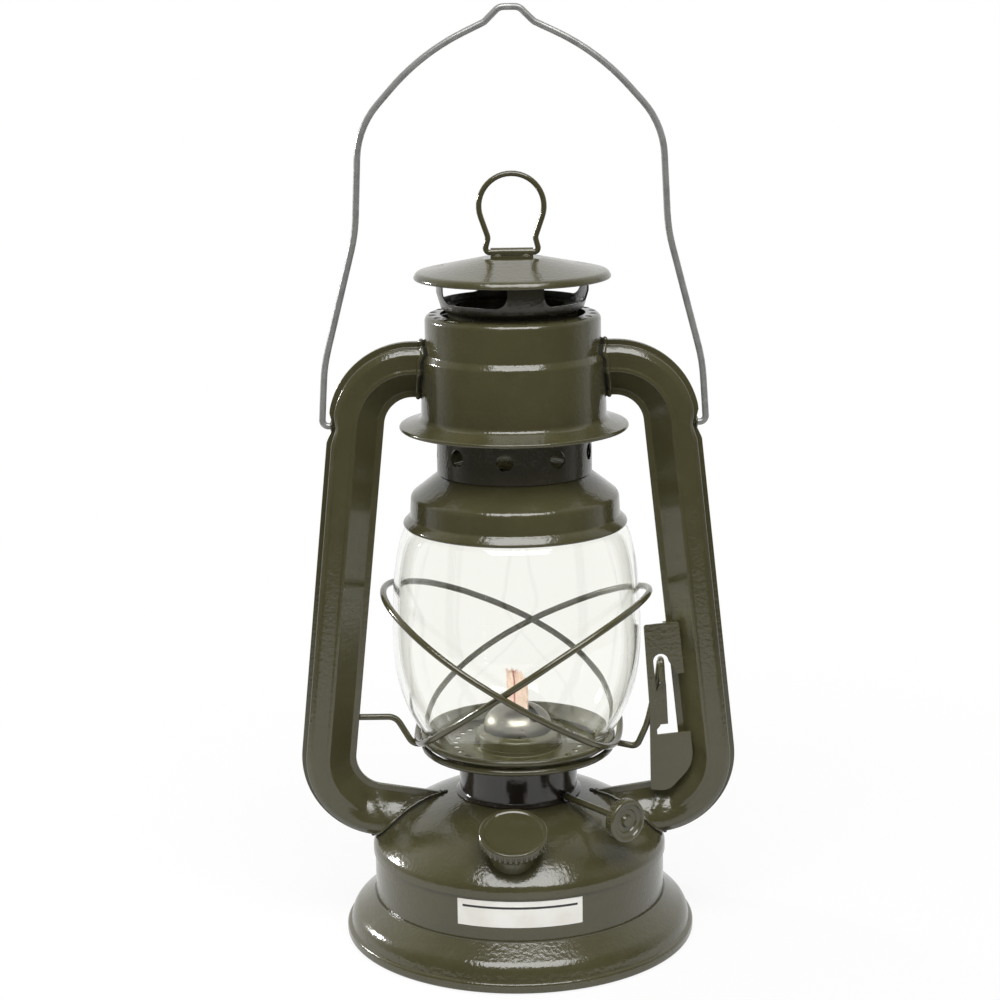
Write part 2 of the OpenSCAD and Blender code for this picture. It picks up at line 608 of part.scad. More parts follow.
module side_tube() {
    difference() {
        union() {
            tube_body();
            tube_collar();
        }
        rotate_extrude() polygon(concat([[0, 0]], [[tank_r + 2, 0]], beside(dome_line, -sheet / 2 - solder),
            [[0, dome_top + 0.1]]));
        rotate_extrude() polygon(concat([[0, hood_z]], beside(rounded(hood_line), -sheet / 2 - solder),
            [[0, hood_top]]));
        translate([pivot_x, 0, pivot_z]) rotate([0, 90, 0])
            cylinder(r = bail_d / 2 + 1 + solder, h = 12, center = true);
    }
}

module right_tube() color(olive) side_tube();

module left_tube() color(olive) difference() {
    mirror([1, 0, 0]) side_tube();
    translate([-tube_edge(arm_z) - arm_end - 1, arm_y - guard_d / 2 - slide_gap,
        arm_z - guard_d / 2 - slide_gap])
        cube([arm_end + 3, guard_d + 2 * slide_gap, guard_d + lift_travel + 2 * slide_gap + 1]);
}

module bail_eyelets() color(steel) for (s = [0, 1]) mirror([s, 0, 0])
    translate([pivot_x, 0, pivot_z]) rotate([0, 90, 0]) difference() {
        union() {
            translate([0, 0, -3]) cylinder(r = bail_d / 2 + 1, h = 3.5);
            translate([0, 0, 0.4]) cylinder(r = bail_d / 2 + 1.8, h = 0.6);
        }
        translate([0, 0, -4]) cylinder(r = bail_d / 2 + turn_gap, h = 6);
    }

// Hood with vent holes, tube ports and a rolled brim
hood_line = [[hood_brim_r - 0.8, hood_z + 0.5], [hood_r, hood_z + 3.4, 2.6], [hood_r - 0.6, hood_z + 25, 1.6],
    [hood_top_r - sheet / 2, hood_z + 27.2, 1.6], [hood_top_r - sheet / 2, hood_top - sheet / 2, 2],
    [hood_mouth_r, hood_top - sheet / 2]];

module hood() color(olive) difference() {
    union() {
        drawn(hood_line);
        bead(hood_brim_r - 0.8, hood_z + 0.6, 1.5);
    }
    for (i = [0 : vent_holes - 1]) rotate([0, 0, 360 / vent_holes * (i + 0.5)])
        translate([(hood_top_r + hood_mouth_r) / 2, 0, hood_top]) cylinder(r = vent_r, h = 6, center = true);
    translate([0, 0, tube_z]) rotate([0, 90, 0]) cylinder(r = tube_t / 2 - 2, h = 100, center = true);
}

// Chimney: bell, neck, flue, crown, cap and the strap of the ring
module bell() color(olive) {
    x = neck_r - sheet - solder - sheet / 2;
    drawn([[bell_brim_r - 0.7, bell_z + 0.3], [bell_r - sheet / 2, bell_z + 3.2, 1.6],
        [bell_r - 0.7, cone_z, 2.4], [x, cone_top - 0.5, 0.4], [x, cone_top + 3]]);
    bead(bell_brim_r - 0.7, bell_z + 0.5, 1.4);
    translate([0, 0, globe_top + rest_gap]) rotate_extrude() translate([globe_neck_r - glass - 1.2, 0])
        square([bell_r - 0.6 - globe_neck_r + glass + 1.2, sheet]);
}

module neck_ring() color(dark) difference() {
    translate([0, 0, cone_top - 0.2]) rotate_extrude() translate([neck_r - sheet, 0])
        square([sheet, neck_top - cone_top + 0.2]);
    for (i = [0 : neck_holes - 1]) rotate([0, 0, -97 + 360 / neck_holes * i])
        translate([neck_r - 3, 0, hood_z - 7.7]) rotate([0, 90, 0]) cylinder(r = neck_hole_r, h = 6);
}

flue_z = neck_top + solder + sheet / 2;
module flue_pipe() color(dark)
    drawn([[neck_r - sheet / 2, flue_z], [flue_r - sheet / 2, flue_z, 1.6],
        [flue_r - sheet / 2, hood_top + 2]]);

cap_line = [[0, cap_z], [11, cap_z, 4], [cap_r - 1.4, cap_z - 4.6, 1.6], [cap_r - 0.7, cap_z - 6.4]];
crown_top = cap_z - 4.6 * (crown_r - 11) / (cap_r - 12.4) - sheet;
module crown() color(dark) difference() {
    x = flue_r + solder + sheet / 2;
    drawn([[x, hood_top - 4], [x, hood_top + 0.8, 1.4], [crown_r - 1.9, hood_top + 2.4, 1.4],
        [crown_r - sheet / 2, hood_top + 8, 4], [crown_r - sheet / 2, crown_top]]);
    for (i = [0 : 3]) rotate([0, 0, 45 + crown_turn + 90 * i]) rotate([90, 0, 90]) linear_extrude(60) {
        w = crown_r * sin(45 - asin(crown_leg_w / 2 / crown_r));
        polygon(rounded_loop([[-w, hood_top + 4.6, 3], [w, hood_top + 4.6, 3], [w, crown_top - 1.4, 3],
            [-w, crown_top - 1.4, 3]]));
    }
}

rivet_spots = [[-5, -3.5], [5, -3.5], [-5, 3.5], [5, 3.5]];
rivet_r = 0.8;

module cap() color(olive) difference() {
    union() {
        drawn(cap_line);
        bead(cap_r - 0.7, cap_z - 6.4, 1.3);
    }
    for (p = rivet_spots) translate([p[0], p[1], cap_z]) cylinder(r = rivet_r + solder, h = 4, center = true);
}

module ring_strap() color(olive) difference() {
    z = cap_z + sheet / 2 + solder;
    rotate([90, 0, 90]) linear_extrude(strap_w, center = true) difference() {
        union() {
            translate([0, strap_z]) circle(r = ring_d / 2 + turn_gap + 0.6);
            translate([-5.4, z]) square([10.8, 0.6]);
        }
        translate([0, strap_z]) circle(r = ring_d / 2 + turn_gap);
    }
    for (p = rivet_spots) translate([p[0], p[1], cap_z]) cylinder(r = rivet_r + solder, h = 6, center = true);
}

module strap_rivets() color(olive) for (p = rivet_spots) {
    z = cap_z + sheet / 2 + solder + 0.6;
    translate([p[0], p[1], cap_z - sheet / 2 - 0.5]) cylinder(r = rivet_r, h = z - cap_z + sheet / 2 + 0.7);
    translate([p[0], p[1], z]) intersection() {
        translate([0, 0, -0.9]) sphere(r = 1.7);
        translate([0, 0, solder]) cylinder(r = 2, h = 2);
    }
}

// Spring between the flue flange and the hood top
spring_d = 1.5;
spring_turns = 4.5;
spring_r = hood_mouth_r + spring_d / 2 + 0.1;
spring_z0 = flue_z + sheet / 2 + spring_d / 2 + 0.1;
spring_z1 = hood_top - sheet - spring_d / 2 - 0.1;
spring_path = [for (i = [0 : 20 * spring_turns]) let (a = 18 * i)
    [spring_r * cos(a), spring_r * sin(a), spring_z0 + (spring_z1 - spring_z0) * i / (20 * spring_turns)]];
echo(spring_self_gap = (spring_z1 - spring_z0) / spring_turns - spring_d);

module chimney_spring() color(steel) swept_wire(spring_path, spring_d, [1, 0, 0], false, 8);

// Bail: pins in the eyelets, two S-bent legs and a kinked top
bail_side = [[pivot_x - 5, pivot_z], [pivot_x + 2.8, pivot_z, 1.5], [pivot_x + 0.6, pivot_z + 22, 60],
    [bail_half + 1.8, pivot_z + bail_h * 0.467, 60], [bail_half, pivot_z + bail_h * 0.7, 18],
    [28.5, pivot_z + bail_h - 14, 40], [8.2, pivot_z + bail_h - 5, 4],
    [4.6, pivot_z + bail_h - bail_d / 2, 4]];
bail_path = concat(bail_side, flip([for (p = bail_side) [-p[0], p[1], p[2]]]));

module bail() color(steel) {
    swept_wire([for (p = rounded(bail_path)) [p[0], 0, p[1]]], bail_d, [0, 1, 0]);
    for (s = [-1, 1]) translate([s * (pivot_x - 2), 0, pivot_z]) rotate([0, 90, 0])
        cylinder(r = bail_d / 2 + 0.01, h = 7, center = true);
}

// Ring on the cap: a waisted loop through the strap
ring_R = ring_half - ring_d / 2;
ring_m = [0.05, strap_z + ring_h - ring_R];
ring_waist = [8.3, strap_z + 5.2];
ring_a = atan2(ring_waist[1] - ring_m[1], ring_waist[0] - ring_m[0])
    + acos(ring_R / norm(ring_waist - ring_m));
ring_c = ring_m + ring_R / cos((90 - ring_a) / 2) * [cos((90 + ring_a) / 2), sin((90 + ring_a) / 2)];
ring_side = [[strap_w / 2 - 1, strap_z], [strap_w / 2 + 2.2, strap_z, 1.5], [ring_waist[0], ring_waist[1], 3],
    [ring_c[0], strap_z + ring_h, ring_R]];
ring_path = concat(ring_side, flip([for (p = ring_side) [-p[0], p[1], p[2]]]));

module cap_ring() color(olive) {
    swept_wire([for (p = rounded(ring_path)) [p[0], 0, p[1]]], ring_d, [0, 1, 0]);
    translate([0, 0, strap_z]) rotate([0, 90, 0])
        cylinder(r = ring_d / 2 + 0.01, h = strap_w + 1, center = true);
}

foot_skirt();
tank_wall();
tank_bottom();
tank_dome();
filler_neck();
burner_collar();
burner_gallery();
burner_body();
wick_tube();
burner_cone();
shaft_bush();
left_tube();
right_tube();
hood();
bail_eyelets();
chimney_spring();
bail();
cap_ring();
bell();
neck_ring();
flue_pipe();
crown();
cap();
ring_strap();
strap_rivets();
globe_plate();
globe();
guard_wire_a();
guard_wire_b();
lift_wire();
lifter();
wick();
wick_shaft();
spur_wheels();
wick_knob();
filler_gasket();
filler_cap();
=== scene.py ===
import bpy, math, random
from mathutils import Matrix, Vector


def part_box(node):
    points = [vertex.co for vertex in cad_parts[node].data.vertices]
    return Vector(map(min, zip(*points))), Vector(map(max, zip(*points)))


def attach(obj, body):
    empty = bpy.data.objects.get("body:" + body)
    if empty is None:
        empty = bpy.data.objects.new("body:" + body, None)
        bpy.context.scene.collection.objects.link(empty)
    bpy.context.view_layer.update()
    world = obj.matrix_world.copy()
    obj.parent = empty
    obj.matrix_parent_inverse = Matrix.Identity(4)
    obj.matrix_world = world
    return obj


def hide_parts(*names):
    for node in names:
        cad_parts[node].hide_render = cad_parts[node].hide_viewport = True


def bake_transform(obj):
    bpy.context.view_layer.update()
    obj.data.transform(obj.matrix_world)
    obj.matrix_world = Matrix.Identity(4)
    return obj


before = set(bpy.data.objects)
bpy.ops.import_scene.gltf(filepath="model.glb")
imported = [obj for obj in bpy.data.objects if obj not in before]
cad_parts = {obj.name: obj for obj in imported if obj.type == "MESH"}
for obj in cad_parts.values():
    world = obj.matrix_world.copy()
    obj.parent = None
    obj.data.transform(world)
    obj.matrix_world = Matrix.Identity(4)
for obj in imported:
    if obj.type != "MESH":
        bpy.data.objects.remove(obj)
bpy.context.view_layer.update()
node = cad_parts


# Studio: a pale round table in a white surround, seen from a little above.
# A wide soft box hangs over the front, and a small lamp stands behind on the left.
camera = bpy.data.cameras.new("camera")
camera.sensor_width = 36
camera.lens = 83.887
camera.clip_start = 0.05
pitch, yaw, roll = math.radians(12.584), math.radians(0.377), math.radians(-0.8)
level = Vector((-math.sin(yaw), math.cos(yaw), 0))
ahead = level * math.cos(pitch) - Vector((0, 0, math.sin(pitch)))
upward = level * math.sin(pitch) + Vector((0, 0, math.cos(pitch)))
sideways = Vector((math.cos(yaw), math.sin(yaw), 0))
stand = bpy.data.objects.new("camera", camera)
bpy.context.scene.collection.objects.link(stand)
stand.matrix_world = Matrix((sideways * math.cos(roll) + upward * math.sin(roll),
                             upward * math.cos(roll) - sideways * math.sin(roll),
                             -ahead)).transposed().to_4x4()
stand.location = (0, -0.820, 0.3456)
bpy.context.scene.camera = stand
bpy.context.scene.view_settings.view_transform = "Standard"


class Socket:
    """An output in a finish's nodes. Arithmetic on it adds Math nodes beside it."""

    def __init__(self, tree, out=None):
        self.tree, self.out = tree, out

    def node(self, kind, settings, sockets, out=0):
        """Adds a node: its settings first, then the values or links of its sockets."""
        made = self.tree.nodes.new("ShaderNode" + kind)
        for key, value in settings.items():
            if key == "stops":
                ramp = made.color_ramp.elements
                while len(ramp) < len(value):
                    ramp.new(0.5)
                for stop, (place, colour) in zip(ramp, value):
                    stop.position, stop.color = place, (*colour, 1)
            else:
                setattr(made, key, value)
        for key, value in sockets.items():
            if isinstance(value, Socket):
                self.tree.links.new(value.out, made.inputs[key])
            else:
                made.inputs[key].default_value = value
        return Socket(self.tree, made.outputs[out])

    def math(self, operation, a, b=0.0):
        return self.node("Math", {"operation": operation}, {0: a, 1: b})

    def __add__(self, other):
        return self.math("ADD", self, other)

    def __radd__(self, other):
        return self.math("ADD", other, self)

    def __sub__(self, other):
        return self.math("SUBTRACT", self, other)

    def __rsub__(self, other):
        return self.math("SUBTRACT", other, self)

    def __mul__(self, other):
        return self.math("MULTIPLY", self, other)

    def __rmul__(self, other):
        return self.math("MULTIPLY", other, self)

    def largest(self, other):
        return self.math("MAXIMUM", self, other)

    def between(self, low, high, a=0.0, b=1.0):
        """Goes smoothly from a to b while this value goes from low to high."""
        return self.node("MapRange", {"interpolation_type": "SMOOTHSTEP"}, {
            "Value": self, "From Min": low, "From Max": high, "To Min": a, "To Max": b})

    def mix(self, a, b):
        """A colour between a and b, by this value."""
        return self.node("Mix", {"data_type": "RGBA"}, {0: self, 6: a, 7: b}, 2)

    def noise(self, place, scale, detail=2.0, rough=0.5):
        return self.node("TexNoise", {}, {
            "Vector": place, "Scale": scale, "Detail": detail, "Roughness": rough}, "Fac")

    def stretched(self, place, scale, turn=(0, 0, 0)):
        """The place turned and stretched, for a grain that runs one way."""
        return self.node("Mapping", {}, {"Vector": place, "Rotation": turn, "Scale": scale})


def bare_finish(name, world=False):
    """A material or world with nothing in its tree but the output; returns it and its first socket."""
    home = bpy.data.worlds.new(name) if world else bpy.data.materials.new(name)
    home.use_nodes = True
    home.node_tree.nodes.clear()
    home.node_tree.nodes.new("ShaderNodeOutputWorld" if world else "ShaderNodeOutputMaterial")
    return home, Socket(home.node_tree)


def show(home, shader):
    home.node_tree.links.new(shader.out, home.node_tree.nodes[0].inputs[0])
    return home


def seen_straight(start):
    """1 for rays from the camera, and for mirrored and refracted ones."""
    ray = [start.node("LightPath", {}, {}, "Is %s Ray" % kind)
           for kind in ("Camera", "Glossy", "Transmission")]
    return ray[0].largest(ray[1]).largest(ray[2])


surround, start = bare_finish("surround", True)
bpy.context.scene.world = surround
place = start.node("TexCoord", {}, {}, "Generated")
behind = start.node("SeparateXYZ", {}, {0: place}, 1).between(-0.35, 0.70, 0.04, 1.0)
from_camera = start.node("LightPath", {}, {}, "Is Camera Ray")
through_glass = start.node("LightPath", {}, {}, "Is Transmission Ray")
plain = from_camera.largest(through_glass)
glimpse = seen_straight(start)
show(surround, start.node("Background", {}, {
    "Color": (1, 1, 1, 1), "Strength": glimpse * plain.largest(behind) + (1 - glimpse) * 0.25}))

bpy.ops.object.select_all(action="DESELECT")
bpy.ops.mesh.primitive_circle_add(vertices=128, radius=0.46, fill_type="NGON", location=(0, 0.02, -0.0003))
table = bpy.context.object
table.name = "table"
paper, start = bare_finish("pale_table")
matt = start.node("BsdfDiffuse", {}, {"Color": (0.78, 0.78, 0.77, 1)})
white = start.node("Emission", {}, {"Color": (1, 1, 1, 1), "Strength": 1.0})
place = start.node("TexCoord", {}, {}, "Object")
from_middle = start.node("VectorMath", {"operation": "LENGTH"}, {0: place}, "Value")
bleached = from_middle.between(0.14, 0.40, 0.90, 1.0)
table.data.materials.append(show(paper, start.node("MixShader", {}, {
    0: seen_straight(start) * bleached, 1: matt, 2: white})))


def lamp(name, place, aim, size, power):
    """A rectangular soft lamp that looks at a point."""
    light = bpy.data.lights.new(name, "AREA")
    light.shape, light.size, light.size_y, light.energy = "RECTANGLE", size[0], size[1], power
    box = bpy.data.objects.new(name, light)
    bpy.context.scene.collection.objects.link(box)
    box.location = place
    box.rotation_euler = (Vector(aim) - Vector(place)).to_track_quat("-Z", "Y").to_euler()


lamp("soft_box", (0.05, -0.67, 1.23), (0, 0, 0.12), (1.20, 0.72), 21)
lamp("side_lamp", (-1.02, 0.50, 0.44), (0, 0, 0.06), (0.12, 0.12), 9)


# Foot: a skirt pressed from one steel sheet, drawn out from the tank wall and
# rolled over at its lower edge, which is what the lamp stands on.
MM = 0.001
SHEET = 0.6
tank_radius = 53.85


def rounded(corners):
    """Points along a line of corners (x, z, radius), with an arc at each corner that has a radius."""
    line = []
    for k, (x, z, *radius) in enumerate(corners):
        here = Vector((x, z))
        if not radius or k in (0, len(corners) - 1):
            line.append(here)
            continue
        back = (Vector(corners[k - 1][:2]) - here).normalized()
        on = (Vector(corners[k + 1][:2]) - here).normalized()
        half = back.angle(on) / 2
        centre = here + (back + on).normalized() * radius[0] / math.sin(half)
        first = here + back * radius[0] / math.tan(half) - centre
        side = 1 if on.x * back.y - on.y * back.x > 0 else -1
        swing = math.pi - 2 * half
        n = max(2, math.ceil(swing / math.radians(8)), math.ceil(radius[0] * swing / 3))
        begin = math.atan2(first.y, first.x)
        line += [centre + radius[0] * Vector((math.cos(begin + side * swing * i / n),
                                              math.sin(begin + side * swing * i / n))) for i in range(n + 1)]
    return line


def curl(x, z, radius, begin, end):
    """Points of a rolled edge round (x, z), from one angle to another."""
    n = math.ceil(abs(end - begin) / 14)
    angle = [math.radians(begin + (end - begin) * i / n) for i in range(n + 1)]
    return [(x + radius * math.cos(a), z + radius * math.sin(a)) for a in angle]


def apply(piece, kind, **settings):
    """Puts a modifier on a piece and applies it."""
    bpy.context.view_layer.objects.active = piece
    made = piece.modifiers.new(kind, kind)
    for key, value in settings.items():
        setattr(made, key, value)
    bpy.ops.object.modifier_apply(modifier=made.name)


def smooth(piece, angle=40):
    bpy.ops.object.select_all(action="DESELECT")
    piece.select_set(True)
    bpy.context.view_layer.objects.active = piece
    bpy.ops.object.shade_smooth_by_angle(angle=math.radians(angle))


def spun(name, line, wall=SHEET, steps=144):
    """Draws a sheet's line point by point, spins it round the lamp's axis and gives it its thickness."""
    bpy.ops.object.select_all(action="DESELECT")
    bpy.ops.mesh.primitive_plane_add(size=MM, location=(line[0][0] * MM, 0, line[0][1] * MM))
    piece = bpy.context.object
    piece.name = name
    bpy.ops.object.transform_apply(location=True)
    bpy.ops.object.mode_set(mode="EDIT")
    bpy.ops.mesh.select_all(action="SELECT")
    bpy.ops.mesh.merge(type="CENTER")
    for a, b in zip(line, line[1:]):
        bpy.ops.mesh.extrude_vertices_move(TRANSFORM_OT_translate={
            "value": ((b[0] - a[0]) * MM, 0, (b[1] - a[1]) * MM)})
    bpy.ops.mesh.select_all(action="SELECT")
    bpy.ops.mesh.spin(steps=steps, angle=2 * math.pi, center=(0, 0, 0), axis=(0, 0, 1))
    bpy.ops.mesh.select_all(action="SELECT")
    bpy.ops.mesh.remove_doubles(threshold=2e-6)
    bpy.ops.mesh.normals_make_consistent(inside=False)
    bpy.ops.object.mode_set(mode="OBJECT")
    if wall:
        apply(piece, "SOLIDIFY", thickness=wall * MM, offset=0.0, use_even_offset=True)
    smooth(piece)
    return piece


def shade(colour, part):
    """A colour made darker or lighter, with its alpha."""
    return (*(c * part for c in colour), 1)


def paint(name, colour, gloss=0.15, peel=0.11):
    """Glossy enamel: a little uneven in tone, with a fine orange peel and faint handling marks."""
    enamel, start = bare_finish(name)
    place = start.node("TexCoord", {}, {}, "Object")
    cloud = start.noise(place, 42, 3)
    skin = start.noise(place, 760, 2, 0.45)
    rubbed = start.noise(place, 130, 4, 0.6).between(0.50, 0.80)
    tone = cloud.between(0.3, 0.72).mix(shade(colour, 0.92), shade(colour, 1.08))
    return show(enamel, start.node("BsdfPrincipled", {}, {
        "Base Color": (rubbed * 0.10).mix(tone, (0.13, 0.12, 0.085, 1)),
        "Roughness": cloud.between(0.25, 0.75, gloss - 0.02, gloss + 0.03) + rubbed * 0.07, "IOR": 1.58,
        "Normal": start.node("Bump", {}, {"Strength": peel, "Distance": 0.001, "Height": skin}, "Normal")}))


def settle(piece, finish, body, slot, *nodes):
    """Gives a piece its finish and fixes it to the body that carries it, in place of CAD nodes."""
    piece.data.materials.clear()
    piece.data.materials.append(finish)
    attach(piece, body)
    if nodes:
        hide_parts(*nodes)
    return piece


def coat(finish, *names):
    """Gives CAD nodes whose shape stays their finish."""
    for name in names:
        node[name].data.materials.clear()
        node[name].data.materials.append(finish)


olive = paint("olive_enamel", (0.060, 0.055, 0.0255))
skirt = spun("foot", rounded([(tank_radius, 15.3), (tank_radius, 14.6, 0.5), (61.9, 8.6, 7), (62.9, 3.8, 0.3),
                              (64.2, 3.4, 0.9), (64.2, 0.3, 0.9), (61.7, 0.3, 0.8), (61.7, 2.6)]))
settle(skirt, olive, "frame", "olive_paint", "foot_skirt")


# Tank: a rolled wall, a pressed floor, and a domed lid whose short skirt is
# soldered over the top of the wall.
lid_edge, collar_radius, collar_height = 34.6, 20.9, 52.9
shoulder, collar = Vector((tank_radius, lid_edge)), Vector((collar_radius, collar_height))
rise = 3.4
chord = collar - shoulder
dome_radius = (chord.length_squared / 4 + rise ** 2) / (2 * rise)
dome_centre = (shoulder + collar) / 2 + Vector((-chord.y, chord.x)).normalized() * (dome_radius - rise)


def dome_height(r):
    """Height of the middle of the dome's sheet at a distance from the axis."""
    return dome_centre.y + math.sqrt(dome_radius ** 2 - (r - dome_centre.x) ** 2)


slope = [(r, dome_height(r)) for r in (51.5, 49, 46.5, 44, 41, 38, 35, 32, 29, 26, 23.4)]
dome = spun("tank_lid", rounded([(tank_radius, 31.2), (tank_radius, lid_edge, 4.2), *slope,
                                 (collar_radius, collar_height), (13.4, collar_height)]))
settle(dome, olive, "frame", "olive_paint", "tank_dome")
coat(olive, "tank_wall", "tank_bottom")


# Level sticker: a strip of white vinyl on the front of the tank wall, left without
# words. One printed line shows how high the fuel may stand.
wall_face, sticker_face, half_width = 53.5, 53.56, 22
strip_middle, strip_height = 25.15, 9.7
bpy.ops.object.select_all(action="DESELECT")
bpy.ops.mesh.primitive_grid_add(x_subdivisions=48, y_subdivisions=10, size=MM)
sticker = bpy.context.object
sticker.name = "level_sticker"
for v in sticker.data.vertices:
    turn = v.co.x / MM * 2 * math.asin(half_width / wall_face)
    height = strip_middle + v.co.y / MM * strip_height
    v.co = (sticker_face * MM * math.sin(turn), -sticker_face * MM * math.cos(turn), height * MM)
apply(sticker, "SOLIDIFY", thickness=0.1 * MM, offset=0)
smooth(sticker)
vinyl, start = bare_finish("white_vinyl")
place = start.node("TexCoord", {}, {}, "Object")
across, height = start.node("SeparateXYZ", {}, {0: place}, 0), start.node("SeparateXYZ", {}, {0: place}, 2)
printed = start.math("LESS_THAN", start.math("ABSOLUTE", height - 0.0276), 0.00042) \
    * start.math("LESS_THAN", start.math("ABSOLUTE", across), 0.0203)
yellowed = start.noise(place, 90, 3).between(0.35, 0.75)
show(vinyl, start.node("BsdfPrincipled", {}, {
    "Base Color": printed.mix(yellowed.mix((0.80, 0.79, 0.75, 1), (0.72, 0.70, 0.64, 1)),
                              (0.02, 0.02, 0.02, 1)),
    "Roughness": yellowed.between(0, 1, 0.28, 0.40), "Normal": start.node("Bump", {}, {
        "Strength": 0.05, "Distance": 0.0005, "Height": start.noise(place, 700, 2)}, "Normal")}))
settle(sticker, vinyl, "frame", "olive_paint")


# Burner: a collar soldered into the lid, a pierced gallery in a dark brown enamel that is
# painted shade under the globe plate, a flat wick tube, and an olive drum under a bright
# dome with the flame's slot.
def sheet_metal(name, colour, rough, stain):
    """Bare or lacquered sheet with faint drawing marks round it and stains from heat and oil."""
    skin, start = bare_finish(name)
    place = start.node("TexCoord", {}, {}, "Object")
    marks = start.noise(start.stretched(place, (1, 1, 14)), 260, 3, 0.6)
    cloud = start.noise(place, 75, 4, 0.6).between(0.40, 0.72)
    tone = marks.between(0.3, 0.7).mix(shade(colour, 0.92), shade(colour, 1.06))
    return show(skin, start.node("BsdfPrincipled", {}, {
        "Base Color": cloud.mix(tone, (*stain, 1)), "Metallic": 1.0,
        "Roughness": cloud.between(0, 1, rough, rough + 0.14), "Normal": start.node("Bump", {}, {
            "Strength": 0.06, "Distance": 0.0006,
            "Height": marks + 0.5 * start.noise(place, 900)}, "Normal")}))


# Dark brown enamel for the collar, gallery and bush: a darker copy of the paint, as painted shade for the
# parts that sit under the globe plate.
shade_brown_enamel = paint("brown_enamel_painted_shade", (0.028, 0.023, 0.018), 0.14, 0.05)
bright = sheet_metal("burner_zinc", (0.25, 0.24, 0.21), 0.27, (0.19, 0.18, 0.15))
coat(shade_brown_enamel, "burner_collar", "burner_gallery", "shaft_bush")
coat(bright, "burner_body", "wick_tube")

drum = spun("cone_drum", rounded([(15.2, 66.2), (15.2, 75.4, 0.9), (12.6, 76.3)]), steps=96)
cone_radius, cone_foot, cone_rise = 12.2, 77.6, 8.5
cone = spun("flame_cone", [(cone_radius, 75.9), (cone_radius, cone_foot)]
            + [(cone_radius * math.cos(math.radians(a)), cone_foot + cone_rise * math.sin(math.radians(a)))
               for a in [*range(6, 89, 4), 89.2]], steps=96)
settle(drum, olive, "frame", "olive_paint")
wick_turn = math.radians(-51.5)
slot_offset, slot_height = 1.6, 88
bpy.ops.object.select_all(action="DESELECT")
bpy.ops.mesh.primitive_cube_add(size=MM, rotation=(0, 0, wick_turn), location=(
    slot_offset * math.cos(wick_turn) * MM, slot_offset * math.sin(wick_turn) * MM, slot_height * MM))
slot_cutter = bpy.context.object
slot_cutter.scale = (19.2, 5.0, 20)
bpy.ops.object.transform_apply(location=True, rotation=True, scale=True)
apply(slot_cutter, "BEVEL", width=2.2 * MM, segments=6)


def cut(piece, cutter):
    """Takes a cutter's shape out of a piece, and the cutter away."""
    apply(piece, "BOOLEAN", operation="DIFFERENCE", solver="EXACT", object=cutter)
    bpy.data.objects.remove(cutter)
    smooth(piece)


cut(cone, slot_cutter)
settle(cone, bright, "frame", "burner_metal", "burner_cone")


# Wick: a flat woven cotton tape with a red tracer thread, standing out of its tube
# with a frayed top, unlit and a little pink.
tape_width, tape_length, tape_foot, threads = 11.6, 76.9, 22.2, 24
fray_start, fray_height = 92.0, 7.1
bpy.ops.object.select_all(action="DESELECT")
bpy.ops.mesh.primitive_grid_add(x_subdivisions=threads, y_subdivisions=110, size=MM)
tape = bpy.context.object
tape.name = "wick_tape"
rng = random.Random(5)
fray = [rng.uniform(0, 1) ** 2 * 2.2 for _ in range(threads + 1)]
for v in tape.data.vertices:
    along, up = v.co.x / MM * tape_width, tape_foot + (v.co.y / MM + 0.5) * tape_length
    top = max(0, (up - fray_start) / fray_height)
    up -= (fray[round((v.co.x / MM + 0.5) * threads)] + 0.7 * max(0, along - 1.4)) * top ** 2
    sway = 0.55 * top ** 2 * math.sin(along * 1.3) + 0.16 * math.sin(up * 0.9 + along * 0.6) * min(1, top * 4)
    v.co = ((along * math.cos(wick_turn) - sway * math.sin(wick_turn)) * MM,
            (along * math.sin(wick_turn) + sway * math.cos(wick_turn)) * MM, up * MM)
apply(tape, "SOLIDIFY", thickness=0.9 * MM, offset=0)
smooth(tape, 60)
cotton, start = bare_finish("wick_cotton")
place = start.node("TexCoord", {}, {}, "Object")
laid = start.stretched(place, (1, 1, 1), (0, 0, -wick_turn))
across, height = start.node("SeparateXYZ", {}, {0: laid}, 0), start.node("SeparateXYZ", {}, {0: laid}, 2)
wave = start.math("SINE", across * 7400) * start.math("SINE", height * 6100)
tracer = start.math("LESS_THAN", start.math("ABSOLUTE", across + 0.0012), 0.00055)
fuzz = start.noise(place, 1400, 3)
strands = start.noise(start.stretched(place, (1, 1, 0.12)), 2600, 2)
show(cotton, start.node("BsdfPrincipled", {}, {
    "Base Color": (tracer * 0.85).mix(
        fuzz.between(0.3, 0.7).mix((0.70, 0.47, 0.36, 1), (0.85, 0.66, 0.54, 1)), (0.42, 0.035, 0.03, 1)),
    "Alpha": start.math("LESS_THAN", height + strands * 0.008, 0.1022),
    "Roughness": fuzz.between(0, 1, 0.8, 0.95), "Sheen Weight": 0.3, "Normal": start.node("Bump", {}, {
        "Strength": 0.6, "Distance": 0.0004, "Height": wave * 0.5 + fuzz * 0.6}, "Normal")}))
settle(tape, cotton, "wick", "cotton", "wick")


# Side tubes: two flattened air tubes folded from sheet with a pressed seam on the
# inside and a lip on the outside, bent down from the hood and in to the tank.
run_out, run_down = 13.3, 124.2
lean = math.asin(run_out / math.hypot(run_out, run_down))
foot_turn = math.radians(-81)
bend, top_bend, low_bend = 10.5, Vector((36, 190.2)), Vector((49.3, 66))
stub_start, stub_step, foot_length, foot_steps = 30.3, 1.9, 31.0, 28
lip_start, notch_height, notch_reach = 15, 190.2, 5.4


def rounded_loop(corners):
    """A closed line with rounded corners."""
    return rounded([corners[-1], *corners, corners[0]])[1:-1]


